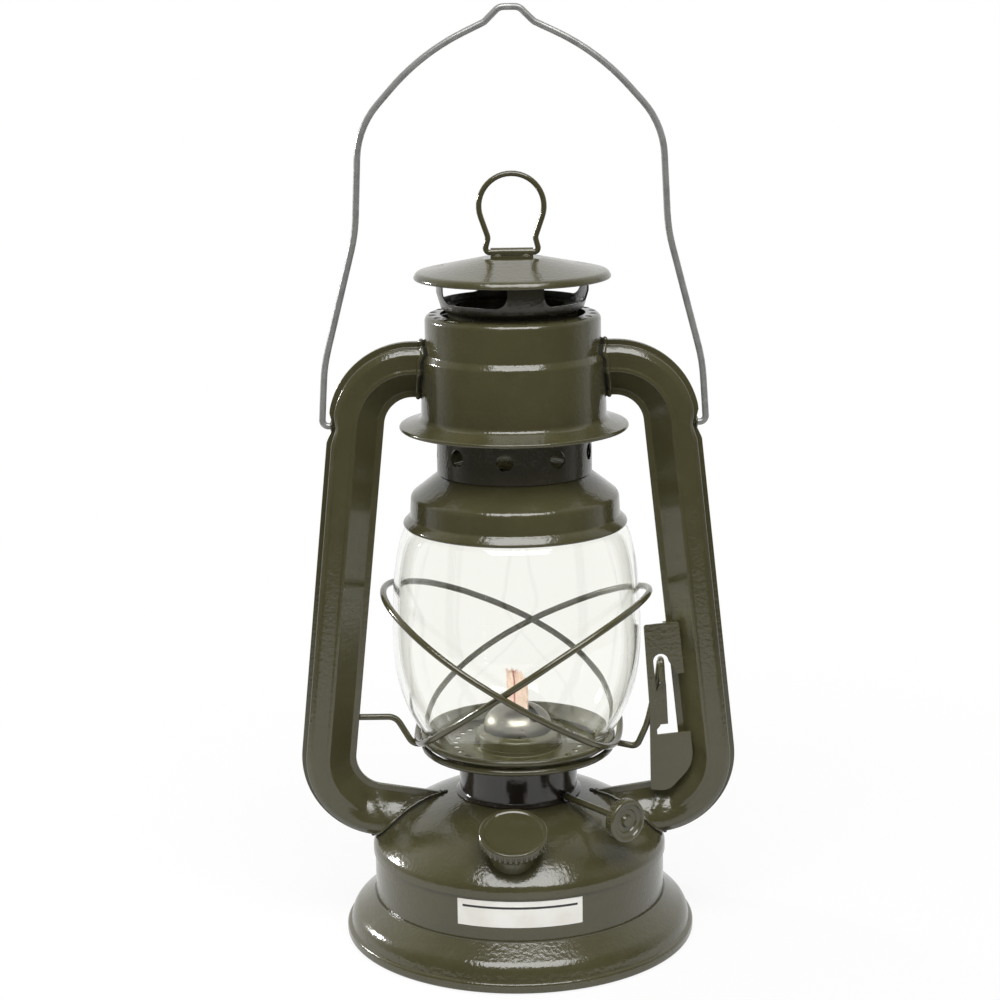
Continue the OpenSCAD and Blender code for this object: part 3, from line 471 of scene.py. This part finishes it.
half_section = [(0, -0.9, 0.3), (2.3, -0.9, 0.7), (8.5, -6.3, 0.9), (9.3, -7.05, 0.6), (10.2, -7.05, 0.6),
                (10.9, -6.75, 0.6), (16.0, -7.1, 1.6), (18.1, -5.4, 1.0), (17.9, -1.25, 0.3),
                (20.0, -1.15, 0.3)]
ring_line = rounded_loop(half_section + [(s, -t, r) for s, t, r in reversed(half_section)])
section = []
for a, b in zip(ring_line, ring_line[1:] + ring_line[:1]):
    parts = max(1, round((b - a).length / 1.3))
    section += [a.lerp(b, k / parts) for k in range(parts)]


def tube_place(x, z):
    """Where a point lies on the tube: its part, how far along it, and how far out from the inner seam."""
    top, low = Vector((x, z)) - top_bend, Vector((x, z)) - low_bend
    angle, low_angle = math.atan2(top.y, top.x), math.atan2(low.y, low.x)
    if top.x <= 0.001 and top.y > 0:
        return "stub", -top.x, top.y - bend
    if angle > lean + 0.001:
        return "bend", angle, top.length - bend
    if low_angle > lean - 0.001 or low.y > 40:
        return "run", -top.y, top.dot(Vector((math.cos(lean), math.sin(lean)))) - bend
    if low_angle > foot_turn + 0.001:
        return "knee", low_angle, low.length - bend
    return "foot", low.dot(Vector((math.sin(foot_turn), -math.cos(foot_turn)))), \
        low.dot(Vector((math.cos(foot_turn), math.sin(foot_turn)))) - bend


def foot_depth(along, out, depth):
    """How far the foot's side stands off the middle: flattened to a facet, dented twice, folded once."""
    eased = min(1, (along + 12) / 8)
    flat = min(depth, 0.9 + max(0, out - 2.3) * 0.57)
    depth += (flat - depth) * eased
    depth -= 0.75 * math.exp(-((along + 4.0) / 2.4) ** 2 - ((out - 6.6) / 2.2) ** 2) \
        + 0.75 * math.exp(-((along - 5.4) / 3.2) ** 2 - ((out - 5.6) / 2.2) ** 2)
    fold = along + 0.5 - 0.65 * (out - 5.3)
    return depth + 0.6 * math.exp(-(fold / 0.8) ** 2 - ((out - 9.0) / 3.6) ** 2)


def side_tube(name):
    """Folds one tube: the section's ring is pushed out, turned round the bends and pushed into the tank."""
    bpy.ops.object.select_all(action="DESELECT")
    bpy.ops.mesh.primitive_circle_add(vertices=len(section), radius=MM, fill_type="NGON")
    tube = bpy.context.object
    tube.name = name
    for v, (s, t) in zip(tube.data.vertices, section):
        v.co = (stub_start * MM, t * MM, (top_bend.y + bend + s) * MM)
    bpy.ops.object.mode_set(mode="EDIT")
    bpy.ops.mesh.select_all(action="SELECT")

    def push(x, z):
        bpy.ops.mesh.extrude_region_move(TRANSFORM_OT_translate={"value": (x * MM, 0, z * MM)})

    for _ in range(3):
        push(stub_step, 0)
    bpy.ops.mesh.spin(steps=24, angle=lean - math.pi / 2, axis=(0, 1, 0),
                      center=(top_bend.x * MM, 0, top_bend.y * MM))
    run = (low_bend - top_bend).length
    for step in [1.0] * 10 + [(run - 10) / 30] * 30:
        push(step * math.sin(lean), -step * math.cos(lean))
    bpy.ops.mesh.spin(steps=24, angle=foot_turn - lean, axis=(0, 1, 0),
                      center=(low_bend.x * MM, 0, low_bend.y * MM))
    step = foot_length / foot_steps
    for _ in range(foot_steps):
        push(step * math.sin(foot_turn), -step * math.cos(foot_turn))
    bpy.ops.mesh.select_all(action="SELECT")
    bpy.ops.mesh.remove_doubles(threshold=2e-6)
    bpy.ops.mesh.normals_make_consistent(inside=False)
    bpy.ops.object.mode_set(mode="OBJECT")

    for v in tube.data.vertices:
        x, y, z = v.co / MM
        part, along, out = tube_place(x, z)
        if part in ("bend", "run") and out > lip_start:
            v.co.x -= 0.40 * (out - lip_start) * max(0, 1 - abs(z - notch_height) / notch_reach) * MM
        if part == "knee":
            part, along = "foot", -(along - foot_turn) * (bend + out)
        if part == "foot" and along > -12 and abs(y) > 0.95:
            v.co.y = math.copysign(foot_depth(along, out, abs(y)), y) * MM
    return tube


right_tube = side_tube("right_side_tube")
left_tube = side_tube("left_side_tube")
for v in left_tube.data.vertices:
    v.co.x = -v.co.x
left_tube.data.flip_normals()
bpy.ops.object.select_all(action="DESELECT")
bpy.ops.mesh.primitive_cube_add(size=MM, location=(-60.81 * MM, 2.5 * MM, 85.5 * MM))
guide = bpy.context.object
guide.scale = (9, 3.2, 13.2)
bpy.ops.object.transform_apply(location=True, rotation=True, scale=True)
apply(guide, "BEVEL", width=0.8 * MM, segments=4)
cut(left_tube, guide)
smooth(right_tube)
settle(right_tube, olive, "frame", "olive_paint", "right_tube")
settle(left_tube, olive, "frame", "olive_paint", "left_tube")


# Hood: the chamber that joins the two tubes over the flue, spun with a step, a flared
# brim rolled at its edge, and a ring of vent holes in its top.
hood_top, step_height = 230.2, 214.5
hood = spun("hood_shell", curl(40.3, 190.1, 0.45, -150, 68) + rounded([
    (40.45, 190.52), (32.9, 192.9, 2.6), (32.3, step_height, 1.6), (31.0, 216.7, 1.6),
    (31.0, hood_top, 2.0), (25.8, hood_top)]))


def drill(radius, depth, far, height, count, first=0.0):
    """A ring of round cutters along the lamp's axis, one made and the rest turned copies."""
    bpy.ops.object.select_all(action="DESELECT")
    bpy.ops.mesh.primitive_cylinder_add(vertices=24, radius=radius * MM, depth=depth * MM, location=(
        far * math.cos(first) * MM, far * math.sin(first) * MM, height * MM))
    bits = bpy.context.object
    bpy.ops.object.transform_apply(location=True)
    bpy.ops.object.mode_set(mode="EDIT")
    bpy.ops.mesh.select_all(action="SELECT")
    bpy.ops.mesh.spin(steps=count, angle=2 * math.pi, dupli=True, center=(0, 0, 0), axis=(0, 0, 1))
    bpy.ops.mesh.select_all(action="SELECT")
    bpy.ops.mesh.remove_doubles(threshold=2e-6)
    bpy.ops.object.mode_set(mode="OBJECT")
    return bits


cut(hood, drill(1.3, 4, 28.55, hood_top, 24, math.radians(7.5)))
settle(hood, olive, "frame", "olive_paint", "hood")


# Bail: a carrying handle of zinc-coated wire, hooked into an eyelet in each tube and
# kinked at the top so that it hangs level.
def galvanised(name, colour, rough, metal=1.0):
    """Zinc on drawn wire: a soft shine with dull patches."""
    zinc, start = bare_finish(name)
    place = start.node("TexCoord", {}, {}, "Object")
    patch = start.noise(place, 240, 3, 0.6).between(0.35, 0.70)
    return show(zinc, start.node("BsdfPrincipled", {}, {
        "Base Color": patch.mix((*colour, 1), shade(colour, 0.72)), "Metallic": metal,
        "Roughness": patch.between(0, 1, rough, rough + 0.16), "Normal": start.node("Bump", {}, {
            "Strength": 0.03, "Distance": 0.0004, "Height": start.noise(place, 1500, 2)}, "Normal")}))


def wire(name, points, thick, closed=False):
    """A round wire along points."""
    line = bpy.data.curves.new(name, "CURVE")
    line.dimensions = "3D"
    line.bevel_depth = thick / 2 * MM
    line.bevel_resolution = 4
    line.use_fill_caps = True
    run = line.splines.new("POLY")
    run.points.add(len(points) - 1)
    for p, at in zip(run.points, points):
        p.co = (*(Vector(at) * MM), 1)
    run.use_cyclic_u = closed
    piece = bpy.data.objects.new(name, line)
    bpy.context.scene.collection.objects.link(piece)
    bpy.ops.object.select_all(action="DESELECT")
    piece.select_set(True)
    bpy.context.view_layer.objects.active = piece
    bpy.ops.object.convert(target="MESH")
    piece = bpy.context.object
    smooth(piece, 60)
    return piece


def both_sides(side):
    """A wire's points across the lamp: the corners of its right side and their mirror image, rounded."""
    return [(x, 0, z) for x, z in rounded(side + [(-x, z, *r) for x, z, *r in reversed(side)])]


zinc = galvanised("zinc_wire", (0.31, 0.315, 0.30), 0.22, 0.35)
heavy_wire, eyelet_height, eyelet_radius = 2.4, 190.4, 1.75
bail_side = [(61.6528, eyelet_height), (68.7, eyelet_height, 2.2), (67.2528, 212.4, 60), (55.0, 259.236, 60),
             (53.2, 296.0, 30), (30.5, 321.2, 80), (8.6, 331.5, 4), (3.4, 336.6, 4)]
handle = wire("bail_wire", both_sides(bail_side), heavy_wire)
settle(handle, zinc, "bail", "galvanised_wire", "bail")
eyelet = [(65.2, eyelet_radius * math.cos(a), eyelet_height + eyelet_radius * math.sin(a))
          for a in (k * math.pi / 12 for k in range(24))]
eyelets = wire("bail_grommets", eyelet, 0.9, True)
apply(eyelets, "MIRROR")
settle(eyelets, olive, "frame", "olive_paint", "bail_eyelets")


# Tube joints: where each tube enters the tank and the hood, a black bead is painted shade for the
# dark gap there, and dark solder too; beside it the flared edge of the tube, a bead under the same paint.
def foot_point(s, t, along):
    """A point of the foot: its place in the section and how far it lies along the foot."""
    x, z = low_bend + (bend + s) * Vector((math.cos(foot_turn), math.sin(foot_turn))) \
        + along * Vector((math.sin(foot_turn), -math.cos(foot_turn)))
    return x, math.copysign(foot_depth(along, s, abs(t)), t) if abs(t) > 0.95 else t, z


def foot_line(back):
    """A line round the foot, some way back from where it meets the lid."""
    line = []
    for s, t in section:
        along = 0
        while along < foot_length:
            x, y, z = foot_point(s, t, along)
            far = math.hypot(x, y)
            if far < shoulder.x and z < dome_height(far) + 0.3:
                break
            along += 0.2
        line.append(foot_point(s, t, along - back))
    return line


def hood_line(gap):
    """A line round a tube's end, a little way out from the hood's stepped wall."""
    line = []
    for s, t in section:
        height = top_bend.y + bend + s
        wall = 32.7 - 1.4 * min(1, max(0, (height - step_height) / 2.2))
        line.append((math.sqrt(wall ** 2 - t ** 2) + gap, t, height))
    return line


# Matt black for the beads in the joints: painted shade of the gap, and the dark solder in it.
black = paint("seam_painted_shade", (0.004, 0.004, 0.003), 0.85, 0.05)
for name, line, thick, finish in (
        ("foot_seam_shade", foot_line(-0.3), 1.3, black), ("foot_beads", foot_line(1.3), 1.2, olive),
        ("hood_seam_shade", hood_line(0.2), 1.1, black), ("hood_beads", hood_line(1.4), 1.8, olive)):
    joint = wire(name, line, thick, True)
    apply(joint, "MIRROR")
    settle(joint, finish, "frame", "olive_paint")


# Chimney: a bell with a rolled lip over the globe, a pierced neck, a flue that the
# spring presses down, and a crown of four bent legs under a shallow cap.
bell = spun("bell_shell", curl(39.7, 155.0, 0.4, -170, 38) + rounded([
    (40.0, 155.3), (37.6, 157.7, 1.6), (37.2, 165.1, 2.4), (26.85, 173.2, 0.4), (26.85, 176.7)]))
ledge = spun("globe_seat", [(32.3, 163.8), (37.0, 163.8)])
settle(bell, olive, "chimney", "olive_paint", "bell")
settle(ledge, olive, "chimney", "olive_paint")
cap_slope = [(13.5 + 1.6 * k, 249.35 - 1.6 * k * 4.0 / 19.2) for k in range(12)]
cap = spun("cap_lid", rounded([(0.05, 249.9), (11, 249.9, 4), *cap_slope,
                               (33.9, 245.1, 2.0), (34.7, 243.4)])[:-1]
           + curl(34.3, 243.5, 0.35, 14, -170))
for v in cap.data.vertices:
    for turn in (165, 20):
        round_by = (math.degrees(math.atan2(v.co.y, v.co.x)) - turn + 180) % 360 - 180
        far = math.hypot(v.co.x, v.co.y) / MM
        v.co.z -= 0.55 * MM * math.exp(-(round_by / 8) ** 2 - ((far - 26.5) / 1.7) ** 2)
settle(cap, olive, "chimney", "olive_paint", "cap")
crown = spun("crown_legs", rounded([(22.75, 226.5), (22.75, 231.3, 1.4), (25.1, 232.9, 1.4),
                                   (26.7, 238.5, 4)])
             + [(26.7, 242), (26.7, 245.9)])
bpy.ops.object.select_all(action="DESELECT")
bpy.ops.mesh.primitive_cube_add(size=MM, location=(27 * MM, 0, 240.6 * MM))
windows = bpy.context.object
windows.scale = (22, 27.9, 10.6)
bpy.ops.object.transform_apply(location=True, rotation=True, scale=True)
apply(windows, "BEVEL", width=4.4 * MM, segments=8)
bpy.ops.object.mode_set(mode="EDIT")
bpy.ops.mesh.select_all(action="SELECT")
bpy.ops.transform.rotate(value=math.radians(-55), orient_axis="Z", center_override=(0, 0, 0))
bpy.ops.mesh.spin(steps=4, angle=2 * math.pi, dupli=True, center=(0, 0, 0), axis=(0, 0, 1))
bpy.ops.mesh.select_all(action="SELECT")
bpy.ops.mesh.remove_doubles(threshold=2e-6)
bpy.ops.object.mode_set(mode="OBJECT")
cut(crown, windows)
# A darker copy of the olive enamel: painted shade for the crown, the neck ring and the flue, which sit under
# the cap and the hood's brim.
olive_painted_shade = paint("olive_enamel_painted_shade", (0.042, 0.038, 0.022), 0.24, 0.12)
settle(crown, olive_painted_shade, "chimney", "olive_paint", "crown")
coat(olive, "ring_strap", "strap_rivets")
coat(olive_painted_shade, "neck_ring", "flue_pipe")


# Chimney spring: a coil between the flue's flange and the hood's top, out of sight.
# It is made as an upper and a lower part.
steel = galvanised("spring_steel", (0.30, 0.30, 0.30), 0.30)
low, high = (Vector(corner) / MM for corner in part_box("chimney_spring"))
coil_wire, coil_steps = 1.5, 90
bottom, top = low.z + coil_wire / 2, high.z - coil_wire / 2
coil_radius = high.x - coil_wire / 2
coil = [(coil_radius * math.cos(k * math.pi / 10), coil_radius * math.sin(k * math.pi / 10),
         bottom + (top - bottom) * k / coil_steps) for k in range(coil_steps + 1)]
shared = round(0.55 * coil_steps)
middle = coil[shared][2]
upper_coil = wire("spring_upper", coil[shared:], coil_wire)
lower_coil = wire("spring_lower", coil[:shared + 1], coil_wire)
for piece in (upper_coil, lower_coil):
    piece.data.materials.clear()
    piece.data.materials.append(steel)
top * MM
middle * MM
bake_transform(upper_coil)
middle * MM
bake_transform(lower_coil)
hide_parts("chimney_spring")


# Hanging ring: a waisted loop of painted wire, hinged in the strap on the cap.
# It stands up for a hook and folds flat either way.
loop, waist, ring_bend = Vector((0.05, 268.1)), Vector((8.3, 257.1)), 11.4
away = math.atan2(waist.y - loop.y, waist.x - loop.x) + math.acos(ring_bend / (waist - loop).length)
halfway = (math.pi / 2 + away) / 2
crest = loop + ring_bend / math.cos((math.pi / 2 - away) / 2) * Vector((math.cos(halfway), math.sin(halfway)))
hinge_x, hinge_height = 6.5, 251.9
ring_side = [(hinge_x, hinge_height), (9.7, hinge_height, 1.5), (8.3, 257.1, 3),
             (crest.x, loop.y + ring_bend, ring_bend)]
hinge_pin = [(-hinge_x, 0, hinge_height), (hinge_x, 0, hinge_height)]
ring = wire("hanging_ring", both_sides(ring_side) + hinge_pin, 2.0)
settle(ring, olive, "cap_ring", "olive_paint", "cap_ring")


# Globe: blown clear glass with ground rims, standing on a pierced plate that lifts
# with it to reach the wick.
plate = spun("globe_dish", rounded([(16.2, 72.3), (16.2, 70.7, 0.6), (31.5, 70.7, 0.8), (33.94, 74.91)])[:-1]
             + curl(34.6, 74.3, 0.9, 137, -130))
cut(plate, drill(1.3, 4, 23.2, 70.7, 28))
settle(plate, olive, "globe_carriage", "olive_paint", "globe_plate")


def bezier(a, b, c, d, n):
    """Points along a curve, without its last."""
    return [(1 - t) ** 3 * Vector(a) + 3 * t * (1 - t) ** 2 * Vector(b) + 3 * t * t * (1 - t) * Vector(c)
            + t ** 3 * Vector(d) for t in (i / n for i in range(n))]


skin_line = bezier((30.2, 71), (36.8, 78.2), (45.2, 90.535), (45.2, 112.535), 28) \
    + bezier((45.2, 112.535), (45.2, 129.535), (44, 146.1), (40.2, 152.7), 28) \
    + bezier((40.2, 152.7), (38.4, 155.6), (35.2, 155.1), (35.2, 158.3), 10) \
    + [Vector((35.2, 158.3)), Vector((35.2, 163.3))]


def skin(height):
    """The globe's outer radius at a height."""
    for low, high in zip(skin_line, skin_line[1:]):
        if low.y <= height <= high.y:
            return low.x + (high.x - low.x) * (height - low.y) / (high.y - low.y)
    return skin_line[0].x


inner_line = []
for k, p in enumerate(skin_line):
    along = (skin_line[min(k + 1, len(skin_line) - 1)] - skin_line[max(k - 1, 0)]).normalized()
    inner_line.append(p + 2.0 * Vector((-along.y, along.x)))
inner_line[0].y, inner_line[-1].y = 71, 163.3
globe = spun("globe_glass", skin_line + inner_line[::-1] + skin_line[:1], wall=0, steps=160)
glass, start = bare_finish("lamp_glass")
place = start.node("TexCoord", {}, {}, "Object")
ripple = start.noise(start.stretched(place, (1, 1, 0.5)), 34, 2)
pane = start.node("BsdfPrincipled", {}, {
    "Base Color": (0.974, 0.976, 0.944, 1), "Roughness": 0.0, "IOR": 1.45, "Transmission Weight": 1.0,
    "Normal": start.node("Bump", {}, {"Strength": 0.12, "Distance": 0.002, "Height": ripple}, "Normal")})
clear = start.node("BsdfTransparent", {}, {"Color": (0.94, 0.95, 0.93, 1)})
in_shadow = start.node("LightPath", {}, {}, "Is Shadow Ray")
show(glass, start.node("MixShader", {}, {0: in_shadow, 1: pane, 2: clear}))
settle(globe, glass, "globe_carriage", "clear_glass", "globe")


# Globe guard: two bent hoops of painted wire that cross in front and behind, and the
# wire under the plate that a thumb piece on the right tube lifts.
def guard_line(first, out, front, turn):
    """A hoop's points: down one side of the globe and up the other, lifted and turned a little by hand."""
    line = []
    steps = 96
    for k in range(steps):
        f = 2 * math.pi * k / steps
        height = 102.95 + 27.6 * math.cos(f) - 1.25 * math.cos(2 * f) + front * 2.4 * math.sin(f)
        r = skin(height) + 2.4 + 1.2 * max(0, math.cos(f)) + 2.6 * out * math.sin(f) ** 4 \
            + (34.7 - skin(74.1)) * max(0, -math.cos(f)) ** 4
        angle = math.radians(first) + f + math.radians(turn) * (1 - math.cos(f)) / 2
        line.append((r * math.cos(angle), r * math.sin(angle), height))
    return line


settle(wire("guard_hoop_a", guard_line(172, 1, 1, -10), heavy_wire, True),
       olive, "globe_carriage", "olive_paint", "guard_wire_a")
settle(wire("guard_hoop_b", guard_line(-8, 0, -1, 16), heavy_wire, True),
       olive, "globe_carriage", "olive_paint", "guard_wire_b")


def soft_bends(corners):
    """A wire's points, with each corner (x, y, z, reach) bent in a curve of that reach."""
    line = []
    for k, (*at, reach) in enumerate(corners):
        here = Vector(at)
        if not reach or k in (0, len(corners) - 1):
            line.append(here)
            continue
        before = here + reach * (Vector(corners[k - 1][:3]) - here).normalized()
        after = here + reach * (Vector(corners[k + 1][:3]) - here).normalized()
        line += [(1 - t) ** 2 * before + 2 * t * (1 - t) * here + t * t * after
                 for t in (i / 8 for i in range(9))]
    return line


seam_x = top_bend.x + bend * math.cos(lean) + (top_bend.y + bend * math.sin(lean) - 80.5) * math.tan(lean)
under = [(34.4 * math.cos(math.radians(a / 2)), 34.4 * math.sin(math.radians(a / 2)), 70.8, 0)
         for a in range(360, 721, 15)]
lift_corners = [(-seam_x - 6, 2.5, 80.5, 0), (-45, 2.5, 80.5, 3), (-38.8, 0, 70.8, 2.4), *under,
                (43.7, -1.92, 69.4, 2.4), (47.6, -3.2, 78.9, 3.5), (51.04, -3.2, 94.5, 4),
                (52.24, -3.2, 103.5, 1.9), (52.24, -8.2, 103.5, 1.9), (52.64, -8.2, 96.5, 0)]
settle(wire("lift_wire_bend", soft_bends(lift_corners), heavy_wire),
       olive, "globe_carriage", "olive_paint", "lift_wire")
coat(olive, "lifter")


# Wick winder: a turned shaft with two spur wheels on the wick and a knob at its end.
# The knob is pressed from sheet, with a coined edge for the fingers.
coat(galvanised("shaft_steel", (0.10, 0.092, 0.075), 0.30), "spur_wheels")
coat(olive, "wick_shaft", "wick_knob")


# Filler: a threaded neck in the lid, a rubber ring, and a screw cap with scalloped
# edges whose top is left plain.
rubber, start = bare_finish("black_rubber")
place = start.node("TexCoord", {}, {}, "Object")
dust = start.noise(place, 300, 3).between(0.45, 0.75)
show(rubber, start.node("BsdfPrincipled", {}, {
    "Base Color": dust.mix((0.018, 0.018, 0.018, 1), (0.05, 0.048, 0.045, 1)),
    "Roughness": dust.between(0, 1, 0.55, 0.75), "Normal": start.node("Bump", {}, {
        "Strength": 0.1, "Distance": 0.0005, "Height": dust}, "Normal")}))
coat(rubber, "filler_gasket")
coat(olive, "filler_neck", "filler_cap")
